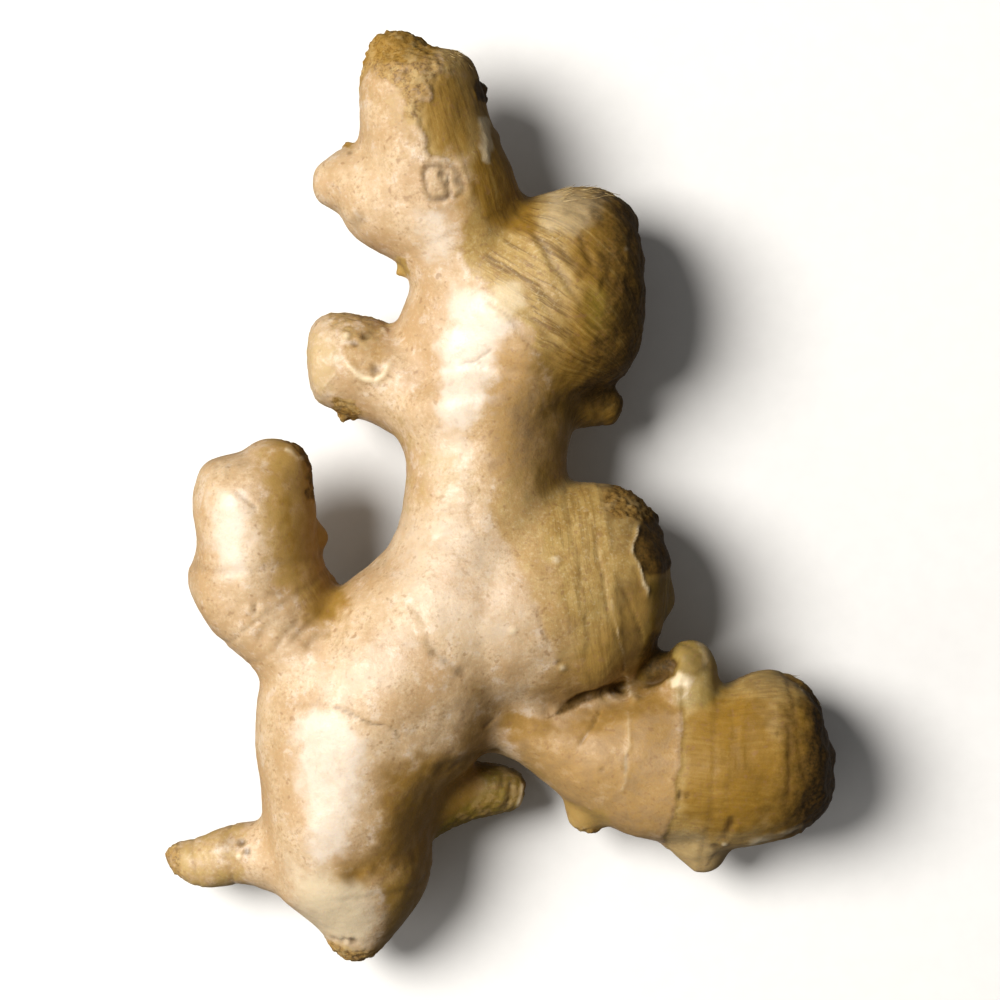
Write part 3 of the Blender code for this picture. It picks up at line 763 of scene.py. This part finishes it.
    ([(-32, -75.4), (-27, -77.4), (-23.6, -76.4), (-19, -79), (-20, -86), (-34, -86)],
     1, 0.9, True, {"cork": 0.9}),
    # olive and brown on the tip's right side, partly painted shade away from the light
    ([(-21, -66), (-19, -72), (-21, -80), (-8, -80), (-8, -60), (-14, -60)],
     2, 0.8, True, {"olive": 0.8, "brown": 0.7}),
    # the foot bud
    ([(-43.5, -55), (-44.2, -60), (-43.4, -68), (-66, -70), (-66, -54)], 1.2, 0.8, True, {"olive": 0.55}),
    ([(-55, -57), (-55.4, -62), (-53.6, -68), (-64, -70), (-64, -56)],
     0.9, 0.9, True, {"cork": 0.7, "brown": 0.1}),
    # the stub below
    ([(-14, -44), (-2, -42), (4, -44), (10, -48), (8, -58), (-8, -58)], 1, 0.5, False, {"olive": 0.4}),
)


PATCH_UNEVENNESS = 0.6


def paint_patches(skin):
    for outline, softness, raggedness, through, amounts in PATCHES:
        depth = inside_outline(skin.wobbly_xy(raggedness), outline)
        depth = depth + PATCH_UNEVENNESS * raggedness * skin.uneven
        inside = smoothstep(-softness, softness, depth)
        if not through:
            inside = inside * skin.top
        for name, amount in amounts.items():
            skin.mask(name, amount * inside)


# Relief that goes with a mask: (mask, size of the bumps, height, seed).
MASK_RELIEF = (
    ("cork", 1.0, 0.42, 21),
    ("dark", 3.4, 0.35, 24),
    ("pale", 1.6, 0.04, 28),
)


def roughen(skin):
    for name, size, height, seed in MASK_RELIEF:
        there = skin.masks[name] > 0.02
        crumbs = np.zeros(len(there))
        crumbs[there] = rough(skin.co[there], size, 3, seed)
        skin.push(height * skin.masks[name] * crumbs)


FINE_GRAIN = ((0.9, 0.03, 31), (1.8, 0.05, 33), (3.6, 0.08, 35))


def add_grain(skin):
    for size, height, seed in FINE_GRAIN:
        skin.push(height * noise(skin.co, size, seed))


# -------- where each look of the skin goes

# The upper lobe's fibres run together at a point low on its right side.
UPPER_POLE = np.array([25.0, 19.5, 15.0])
UPPER_POLE_AXIS = np.array([0.808, -0.505, 0.303])
UPPER_FIBRE_SPREAD = 20.0
SHEATH_EDGE = [
    (30.5, -31), (30.5, -35.4), (30.9, -38.5), (30.4, -42), (30.5, -44.7), (29.5, -47.3), (29.8, -49.4),
    (29.5, -53.5), (28, -58), (33, -72), (64, -66), (64, -24), (38, -24),
]
SHEATH_STEP = 0.25
SHEATH_DARK = 0.22
LIMB_TINTS = (
    ("under_stub", "olive", 1.0),
    ("under_stub", "cork", 0.5),
    ("under_stub", "green", 0.75),
    ("elbow_bud", "olive", 0.3),
)


def place_colours(skin, limbs):
    """Masks that say where the skin is pink and smooth, olive and fibrous, green or brown, and where shade
    is painted.
    """
    sheath_gap = inside_outline(skin.wobbly_xy(0.35), SHEATH_EDGE)
    on_finger = limbs["right_finger"].share
    skin.push(-SHEATH_STEP * smoothstep(-0.25, 0.35, sheath_gap) * on_finger)
    skin.mask("crease", SHEATH_DARK * bell(sheath_gap, 0.3) * on_finger * skin.top)
    for limb, name, amount in LIMB_TINTS:
        skin.mask(name, amount * limbs[limb].share)
    # painted shade: tan, and brown where it is deepest, on the side turned away from the light; tan also
    # towards the bottom
    painted_shade = smoothstep(-0.05, 0.95, 0.9 * skin.no[:, 0] - 0.25 * skin.no[:, 1] + 0.12 * skin.drift)
    below = smoothstep(13.0, 5.0, skin.co[:, 2] + 2.0 * skin.drift)
    skin.mask("tan", np.maximum(painted_shade, 0.6 * below))
    skin.mask("brown", 0.75 * smoothstep(0.3, 0.95, painted_shade))


FIBRE_WANDER = 0.5
# Fibres fade out between neighbouring limbs. Distances along two limbs start apart, so no two limbs match.
FIBRE_LIMB_FADE = 0.14
FIBRE_LIMB_START = 50.0
EAST_FIBRE_START = 400.0
EAST_FIBRE_CURVE = 0.15


def place_fibres(skin, limbs):
    """For each point, three numbers in millimetres: two across the fibres there, and one along them."""
    names = list(limbs)
    owner = np.argmin([limbs[name].near for name in names], axis=0)
    fibres = np.zeros((len(skin.co), 3))
    for i, name in enumerate(names):
        mine = owner == i
        limb = limbs[name]
        around = limb.round()
        first, *_, last = np.array(SPINES[name], float)[:, :3]
        axis = unit(last - first)
        side = unit(np.cross(axis, (0, 0, 1)))
        fibres[mine, 0] = (around @ side)[mine]
        fibres[mine, 1] = (around @ np.cross(side, axis))[mine]
        fibres[mine, 2] = limb.along[mine] + FIBRE_LIMB_START * i
    from_pole = skin.co - UPPER_POLE
    depth = from_pole @ UPPER_POLE_AXIS
    across = from_pole - depth[:, None] * UPPER_POLE_AXIS
    reach = np.linalg.norm(across, axis=1) + TINY
    side = unit(np.cross(UPPER_POLE_AXIS, (0, 1, 0)))
    ranked = np.sort([limbs[name].near for name in names], axis=0)
    skin.masks["fibre"] *= smoothstep(0.0, FIBRE_LIMB_FADE, ranked[1] - ranked[0])
    upper = owner == names.index("upper_lobe")
    upper_round = UPPER_FIBRE_SPREAD * across / reach[:, None]
    fibres[upper, 0] = (upper_round @ side)[upper]
    fibres[upper, 1] = (upper_round @ np.cross(side, UPPER_POLE_AXIS))[upper]
    fibres[upper, 2] = reach[upper]
    east = owner == names.index("east_lobe")
    fibres[east, 0] = limbs["east_lobe"].along[east]
    fibres[east, 1] = EAST_FIBRE_CURVE * skin.co[east, 0]
    fibres[east, 2] = skin.co[east, 1] + EAST_FIBRE_START
    fibres[:, :2] += FIBRE_WANDER * np.stack([skin.drift, skin.drift + 0.3 * skin.uneven], axis=1)
    return fibres


FIBRE_RELIEF = 0.07
FIBRE_WIDTH = np.array([0.9, 0.9, 9.0])


def raise_fibres(skin, fibres):
    relief = noise(fibres / FIBRE_WIDTH, 1.0, 700) + 0.5 * noise(fibres / FIBRE_WIDTH * 2.0, 1.0, 701)
    skin.push(FIBRE_RELIEF * skin.masks["fibre"] * relief)


# -------- the skin's material


def new_material(name):
    """A material, a maker of nodes for it, its shader, and where each point is, in millimetres."""
    material = bpy.data.materials.new(name)
    material.use_nodes = True
    n = Nodes(material.node_tree)
    position = n.add("ShaderNodeTexCoord", {}).outputs["Object"]
    return material, n, material.node_tree.nodes["Principled BSDF"], n.scaled(position, (1 / MM,) * 3)


class Nodes:
    """Short calls that add a node and give back its output."""

    def __init__(self, tree):
        self.tree = tree

    def add(self, kind, inputs, **settings):
        node = self.tree.nodes.new(kind)
        for name, value in settings.items():
            setattr(node, name, value)
        self.feed(node, inputs)
        return node

    def feed(self, node, inputs):
        """Links each output to the node's input of that name, or sets the input to a plain value."""
        for name, value in inputs.items():
            socket = node.inputs[name]
            if isinstance(value, bpy.types.NodeSocket):
                self.tree.links.new(value, socket)
            else:
                socket.default_value = value

    def attribute(self, name, output="Fac"):
        return self.add("ShaderNodeAttribute", {}, attribute_name=name).outputs[output]

    def plus(self, a, b):
        return self.add("ShaderNodeMath", {0: a, 1: b}, operation="ADD").outputs[0]

    def times(self, a, b):
        return self.add("ShaderNodeMath", {0: a, 1: b}, operation="MULTIPLY").outputs[0]

    def scaled(self, vector, scale):
        return self.add("ShaderNodeMapping", {"Vector": vector, "Scale": scale}).outputs[0]

    def noise(self, vector, scale, detail=3.0, roughness=0.55):
        inputs = {"Vector": vector, "Scale": scale, "Detail": detail, "Roughness": roughness}
        return self.add("ShaderNodeTexNoise", inputs).outputs["Fac"]

    def window(self, value, low, high, to_low=0.0, to_high=1.0):
        inputs = {"Value": value, "From Min": low, "From Max": high, "To Min": to_low, "To Max": to_high}
        return self.add("ShaderNodeMapRange", inputs, interpolation_type="SMOOTHSTEP").outputs[0]

    def blend(self, amount, first, second):
        """A colour that goes from the first to the second; the node's colours are its sockets 6 and 7."""
        return self.add("ShaderNodeMix", {0: amount, 6: first, 7: second}, data_type="RGBA").outputs[2]


PINK = (0.47, 0.30, 0.145, 1)
PINK_PALE = (0.58, 0.42, 0.25, 1)
# pale pink-white: pale blotches in the skin, and the colour of the painted highlights
PALE_SKIN_AND_HIGHLIGHT = (0.735, 0.635, 0.52, 1)
TAN = (0.42, 0.25, 0.08, 1)
OLIVE = (0.36, 0.215, 0.05, 1)
OLIVE_LIGHT = (0.46, 0.305, 0.09, 1)
OLIVE_DARK = (0.15, 0.078, 0.009, 1)
BROWN = (0.25, 0.130, 0.009, 1)
CORK = (0.34, 0.20, 0.05, 1)
CORK_SHADE = (0.15, 0.075, 0.014, 1)
CORK_DARK = (0.09, 0.045, 0.008, 1)
CORK_PALE = (0.52, 0.36, 0.15, 1)
GREEN = (0.20, 0.16, 0.012, 1)
CREAM = (0.70, 0.57, 0.36, 1)
BLACKISH = (0.018, 0.010, 0.002, 1)
SPECK = (0.27, 0.14, 0.05, 1)


def skin_colour(n, at, fibre_at):
    """Pink-beige skin that turns olive, green, corky, pale or dark where the masks say, with painted shade
    in tan, brown and dark and painted highlights in pale pink-white.
    """
    cloud = n.noise(at, 0.11, 3.0)
    blotch = n.noise(at, 0.38, 4.0, 0.65)
    grain = n.noise(at, 1.5, 3.0, 0.65)
    fine_streak = n.noise(n.scaled(fibre_at, (1.5, 1.5, 0.11)), 1.0, 4.0, 0.65)
    ragged = n.window(blotch, 0.3, 0.7, -0.2, 0.2)

    def blotchy(mask, low, high, most=1.0):
        """The mask's amount, with an edge that the blotches make ragged."""
        return n.window(n.plus(n.attribute(mask), ragged), low, high, 0.0, most)

    pink = n.blend(n.window(cloud, 0.36, 0.64), PINK, PINK_PALE)
    pink = n.blend(n.window(blotch, 0.46, 0.66, 0.0, 0.5), pink, TAN)
    pink = n.blend(n.window(blotch, 0.46, 0.32, 0.0, 0.35), pink, PALE_SKIN_AND_HIGHLIGHT)
    olive = n.blend(n.window(blotch, 0.34, 0.66), OLIVE, OLIVE_LIGHT)
    tan = n.blend(n.window(blotch, 0.42, 0.62), TAN, PINK)
    freckle = n.noise(at, 0.8, 1.0, 0.5)
    ruddy = n.window(n.noise(at, 0.22, 2.0), 0.40, 0.62, 0.15, 1.0)

    # tan and brown: the skin's own colour, and painted shade on the side away from the light
    colour = n.blend(blotchy("tan", 0.1, 0.95, 0.9), pink, tan)
    # painted highlight: pale pink-white where the light catches the skin
    colour = n.blend(blotchy("painted_highlight", 0.0, 1.0, 0.85), colour, PALE_SKIN_AND_HIGHLIGHT)
    colour = n.blend(blotchy("olive", 0.15, 0.9), colour, olive)
    colour = n.blend(blotchy("brown", 0.1, 1.05, 0.9), colour, BROWN)
    streaks = n.times(n.attribute("fibre"), n.window(fine_streak, 0.48, 0.64, 0.0, 0.8))
    colour = n.blend(streaks, colour, OLIVE_DARK)
    lights = n.times(n.attribute("fibre"), n.window(fine_streak, 0.48, 0.30, 0.0, 0.6))
    colour = n.blend(lights, colour, OLIVE_LIGHT)
    colour = n.blend(n.attribute("green"), colour, GREEN)

    # fewer specks where a highlight is painted
    away_from_highlight = n.window(n.attribute("painted_highlight"), 0.0, 0.8, 1.0, 0.25)
    specks = n.times(n.window(grain, 0.48, 0.70, 0.0, 0.5), n.times(ruddy, away_from_highlight))
    colour = n.blend(specks, colour, SPECK)
    paler = n.times(n.window(grain, 0.48, 0.30, 0.0, 0.28), n.window(n.attribute("brown"), 0.5, 0.0))
    colour = n.blend(paler, colour, CREAM)
    colour = n.blend(n.times(n.window(freckle, 0.64, 0.76, 0.0, 0.55), away_from_highlight), colour, SPECK)

    crumbs = n.blend(n.window(grain, 0.36, 0.56), CORK_SHADE, CORK)
    crumbs = n.blend(n.window(blotch, 0.48, 0.62, 0.0, 0.8), crumbs, CORK_PALE)
    crumbs = n.blend(n.times(n.attribute("brown"), 0.6), crumbs, BROWN)
    colour = n.blend(blotchy("cork", 0.2, 0.85), colour, crumbs)
    colour = n.blend(n.window(n.attribute("pale"), 0.05, 0.9), colour, CREAM)
    # dark: the broken ends' own near-black, and painted shade where the dark mask is laid as shade
    dark_edge = n.plus(n.attribute("dark"), n.times(ragged, 0.7))
    dark_scar_and_shade = n.blend(n.window(grain, 0.35, 0.65), BLACKISH, CORK_DARK)
    colour = n.blend(n.window(dark_edge, 0.0, 1.1, 0.0, 0.93), colour, dark_scar_and_shade)
    colour = n.blend(n.times(n.attribute("crease"), 0.9), colour, CORK_DARK)
    return colour, blotch, grain, fine_streak


def skin_material():
    material, n, shader, at = new_material("ginger_skin")
    fibre_at = n.attribute("fibre_at", "Vector")
    colour, blotch, grain, fine_streak = skin_colour(n, at, fibre_at)
    dull = n.plus(n.window(blotch, 0.4, 0.6, 0.46, 0.58), n.times(n.attribute("cork"), 0.3))
    dull = n.plus(dull, n.times(n.attribute("fibre"), 0.10))
    dull = n.plus(dull, n.times(n.attribute("painted_highlight"), -0.05))
    covered = n.plus(n.attribute("dark"), n.times(n.attribute("brown"), 0.8))
    covered = n.plus(covered, n.times(n.attribute("cork"), 0.5))
    shine = n.window(covered, 0.0, 1.0, 0.75, 0.2)
    pores = n.noise(at, 3.2, 3.0, 0.6)
    relief = n.plus(n.times(grain, 0.7), n.times(pores, 0.35))
    strands = n.times(n.times(fine_streak, 1.4), n.attribute("fibre"))
    relief = n.plus(relief, strands)
    bump = n.add("ShaderNodeBump", {"Height": relief, "Distance": 0.0001, "Strength": 0.7})
    looks = {
        "Base Color": colour, "Roughness": dull, "Specular IOR Level": shine, "Normal": bump.outputs[0],
        "IOR": 1.5, "Subsurface Weight": 0.08, "Subsurface Radius": (0.0025, 0.0012, 0.0005),
        "Subsurface Scale": 1.0,
    }
    n.feed(shader, looks)
    return material


# -------- loose fibres

# Frayed places: (outline seen from above, direction that the fibres run in, how many, length in mm).
FRAYS = (
    ([(9.5, 50.4), (18, 51.2), (19, 54), (9, 54)], (0.9, 0.45), 45, 2.6),
    ([(48, -29), (50, -31), (54, -36), (57, -35), (51, -28)], (0.75, -0.65), 12, 2.2),
    ([(-10, 73), (-5, 74), (-5.6, 78), (-10, 77.5)], (0.5, -0.85), 14, 1.6),
)
FIBRE_HALF_WIDTH = 0.10
FIBRE_STATIONS = 5
FIBRE_LIFT = 0.13
FIBRE_SPREAD = 0.16
FIBRE_ROOT_DEPTH = 0.05
FIBRE_TAPER = 0.8
FIBRE_CURL = 0.3
FIBRE_SEED = 5


def one_fibre(root, way, normal, length, curl):
    """Corners of a thin tapering blade that lifts a little off the skin."""
    side = unit(np.cross(way, normal))
    rings = []
    for i in range(FIBRE_STATIONS):
        t = i / (FIBRE_STATIONS - 1)
        lift = FIBRE_LIFT * length * t * t - FIBRE_ROOT_DEPTH
        middle = root + way * (length * t) + normal * lift + side * (curl * t * t)
        half = FIBRE_HALF_WIDTH * (1.0 - FIBRE_TAPER * t)
        rings.append([middle - side * half, middle + side * half, middle + normal * half])
    return rings


def make_fibres(skin, material):
    """All the loose fibres as one piece."""
    rng = np.random.default_rng(FIBRE_SEED)
    corners = []
    faces = []
    for outline, direction, count, length in FRAYS:
        here = np.flatnonzero((inside_outline(skin.xy, outline) > 0) & (skin.no[:, 2] > -0.2))
        for vertex in rng.choice(here, count):
            normal = skin.no[vertex]
            way = np.array([direction[0], direction[1], 0.0]) + FIBRE_SPREAD * rng.normal(size=3)
            way = unit(way - normal * (way @ normal))
            reach = length * rng.uniform(0.5, 1.1)
            rings = one_fibre(skin.co[vertex], way, normal, reach, rng.normal() * FIBRE_CURL)
            first = len(corners)
            for ring in rings:
                corners.extend(ring)
            for i in range(FIBRE_STATIONS - 1):
                for j in range(3):
                    a = first + 3 * i + j
                    b = first + 3 * i + (j + 1) % 3
                    faces.append((a, b, b + 3, a + 3))
            last = first + 3 * (FIBRE_STATIONS - 1)
            faces.append((last, last + 1, last + 2))
            faces.append((first + 2, first + 1, first))
    mesh = bpy.data.meshes.new("frayed_fibres")
    mesh.from_pydata([tuple(c * MM) for c in corners], [], faces)
    mesh.materials.append(material)
    piece = new_object("frayed_fibres", mesh)
    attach(piece, "root")


STRAW_PALE = (0.46, 0.34, 0.15, 1)
STRAW_BROWN = (0.26, 0.16, 0.05, 1)


def fibre_material():
    material, n, shader, at = new_material("ginger_fibre")
    patch = n.noise(at, 0.9, 2.0)
    straw = n.blend(n.window(patch, 0.35, 0.65), STRAW_BROWN, STRAW_PALE)
    n.feed(shader, {"Base Color": straw, "Roughness": n.window(patch, 0.3, 0.7, 0.5, 0.65)})
    return material


# -------- putting the root together

MASKS = ("olive", "tan", "brown", "painted_highlight", "fibre", "green", "pale", "dark", "cork", "crease")


def write_masks(skin, fibres):
    for name in MASKS:
        layer = skin.mesh.attributes.new(name, "FLOAT", "POINT")
        layer.data.foreach_set("value", skin.masks[name])
    layer = skin.mesh.attributes.new("fibre_at", "FLOAT_VECTOR", "POINT")
    layer.data.foreach_set("vector", fibres.ravel())


def make_root(node):
    piece = fine_skin(node)
    skin = Skin(piece.data)
    for name in MASKS:
        skin.masks[name] = np.zeros(len(skin.co))
    swell(skin)
    skin.refresh()
    skin.set_unevenness()
    limbs = limbs_of(skin)
    grow_rings(skin, limbs)
    paint_patches(skin)
    place_colours(skin, limbs)
    peel_crown(skin)
    shape_sides(skin)
    skin.refresh()
    roughen(skin)
    cut_creases(skin)
    press_bud_scars(skin)
    raise_ridges(skin)
    make_spots(skin)
    skin.refresh()
    fibres = place_fibres(skin, limbs)
    raise_fibres(skin, fibres)
    add_grain(skin)
    skin.co[:, 2] = np.maximum(skin.co[:, 2], 0.0)
    skin.refresh()
    write_masks(skin, fibres)
    piece.data.shade_smooth()
    piece.data.materials.clear()
    piece.data.materials.append(skin_material())
    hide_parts(NODE)
    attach(piece, "root")
    make_fibres(skin, fibre_material())


# -------- floor, lights and camera

FLOOR_SIDE = 3.0
FLOOR_COLOUR = (0.86, 0.855, 0.84, 1)
FLOOR_SHADE = (0.8428, 0.8379, 0.8232, 1)
FLOOR_FLECK = 0.26


def make_floor():
    bpy.ops.mesh.primitive_plane_add(size=FLOOR_SIDE)
    floor = bpy.context.object
    floor.name = "floor"
    material, n, shader, at = new_material("floor_paper")
    fleck = n.window(n.noise(at, FLOOR_FLECK), 0.3, 0.7)
    paper = n.blend(fleck, FLOOR_COLOUR, FLOOR_SHADE)
    n.feed(shader, {"Base Color": paper, "Roughness": 0.9})
    floor.data.materials.append(material)
    floor.visible_diffuse = False
    floor.visible_glossy = False


# Lights: (name, place, size, power in watts, colour), each aimed at the root.
LIGHTS = (
    ("key", (-0.70, 0.22, 0.98), 0.70, 23.5, (1.0, 0.97, 0.93)),
    ("left_fill", (-0.95, -0.55, 0.50), 0.80, 2.8, (1.0, 0.97, 0.93)),
)
WORLD_COLOUR = (1.0, 0.98, 0.96, 1)
WORLD_STRENGTH = 0.13


def make_lights(target):
    for name, place, size, power, colour in LIGHTS:
        light = bpy.data.lights.new(name, "AREA")
        light.shape = "DISK"
        light.size = size
        light.energy = power
        light.color = colour
        lamp = new_object(name, light)
        lamp.location = place
        lamp.rotation_euler = (target - Vector(place)).to_track_quat("-Z", "Y").to_euler()
    world = bpy.data.worlds.new("studio")
    world.use_nodes = True
    background = world.node_tree.nodes["Background"]
    background.inputs["Color"].default_value = WORLD_COLOUR
    background.inputs["Strength"].default_value = WORLD_STRENGTH
    bpy.context.scene.world = world
    bpy.context.scene.view_settings.view_transform = "Standard"


LENS = 120.0
SENSOR = 36.0
VIEW_WIDTH_PER_LENGTH = 1.075


def make_camera(low, high):
    """Looks straight down at the middle of the root, which fills the frame along its length."""
    middle = (Vector(low) + Vector(high)) / 2
    view_width = VIEW_WIDTH_PER_LENGTH * (high[1] - low[1])
    camera = bpy.data.cameras.new("camera")
    camera.lens = LENS
    camera.sensor_width = SENSOR
    eye = new_object("camera", camera)
    eye.location = middle + Vector((0, 0, view_width * LENS / SENSOR))
    bpy.context.scene.camera = eye


make_root(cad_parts[NODE])
make_floor()
cad_low, cad_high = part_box(NODE)
make_lights((Vector(cad_low) + Vector(cad_high)) / 2)
make_camera(cad_low, cad_high)
